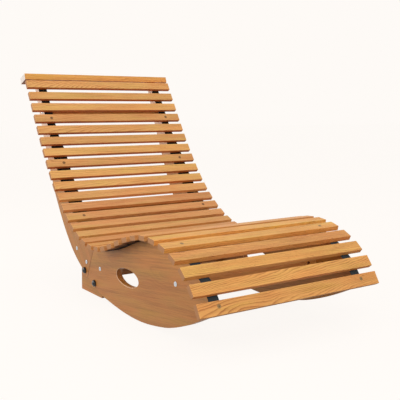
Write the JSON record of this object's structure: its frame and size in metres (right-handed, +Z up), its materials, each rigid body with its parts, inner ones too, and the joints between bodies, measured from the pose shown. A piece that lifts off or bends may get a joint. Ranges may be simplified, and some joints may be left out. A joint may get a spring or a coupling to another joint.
{
  "type": "rocking chaise lounge",
  "caption": "Slatted wooden rocking chaise lounge with an S-curved lying surface on webbing straps, curved rocker side panels with hand holes, tapering backrest boards and flat foot plates.",
  "frame": {"origin": "on the floor, below the centre of the bounding box", "axes": "+X along the slats towards the right side of a person lying on it, +Y towards the head end, so -Y is the foot end, +Z up from the floor"},
  "size_m": [0.6, 1.2218, 0.7577],
  "materials": {
    "slat_wood": "satin oiled, honey coloured",
    "frame_wood": "satin oiled, mid brown",
    "foot_wood": "satin oiled, mid brown",
    "rail_wood": "satin oiled, mid brown",
    "webbing": "woven, matt, near black",
    "connector_steel": "satin zinc",
    "bolt_black": "gloss black"
  },
  "bodies": {
    "root": {"slat_01_headrest_cap": "slat_wood", "slat_02": "slat_wood", "slat_03": "slat_wood", "slat_04": "slat_wood", "slat_05": "slat_wood", "slat_06": "slat_wood", "slat_07": "slat_wood", "slat_08": "slat_wood", "slat_09": "slat_wood", "slat_10": "slat_wood", "slat_11": "slat_wood", "slat_12": "slat_wood", "slat_13": "slat_wood", "slat_14": "slat_wood", "slat_15": "slat_wood", "slat_16": "slat_wood", "slat_17": "slat_wood", "slat_18": "slat_wood", "slat_19": "slat_wood", "slat_20": "slat_wood", "slat_21": "slat_wood", "slat_22": "slat_wood", "slat_23": "slat_wood", "slat_24": "slat_wood", "slat_25": "slat_wood", "slat_26": "slat_wood", "slat_27": "slat_wood", "slat_28": "slat_wood", "slat_29": "slat_wood", "slat_30": "slat_wood", "slat_31": "slat_wood", "backrest_board_left": "frame_wood", "backrest_board_right": "frame_wood", "rocker_panel_left": "frame_wood", "rocker_panel_right": "frame_wood", "foot_plate_left": "foot_wood", "foot_plate_right": "foot_wood", "rail_head": "rail_wood", "rail_lumbar": "rail_wood", "rail_rear": "rail_wood", "rail_seat": "rail_wood", "rail_front": "rail_wood", "webbing_strap_left": "webbing", "webbing_strap_right": "webbing", "connector_head_left": "connector_steel", "connector_head_right": "connector_steel", "connector_lumbar_left": "connector_steel", "connector_lumbar_right": "connector_steel", "connector_rear_left": "connector_steel", "connector_rear_right": "connector_steel", "connector_seat_left": "connector_steel", "connector_seat_right": "connector_steel", "connector_front_left": "connector_steel", "connector_front_right": "connector_steel", "connector_foot_left": "connector_steel", "connector_foot_right": "connector_steel", "foot_bolt_upper_left": "bolt_black", "foot_bolt_upper_right": "bolt_black", "foot_bolt_lower_left": "bolt_black", "foot_bolt_lower_right": "bolt_black"}
  },
  "joints": []
}
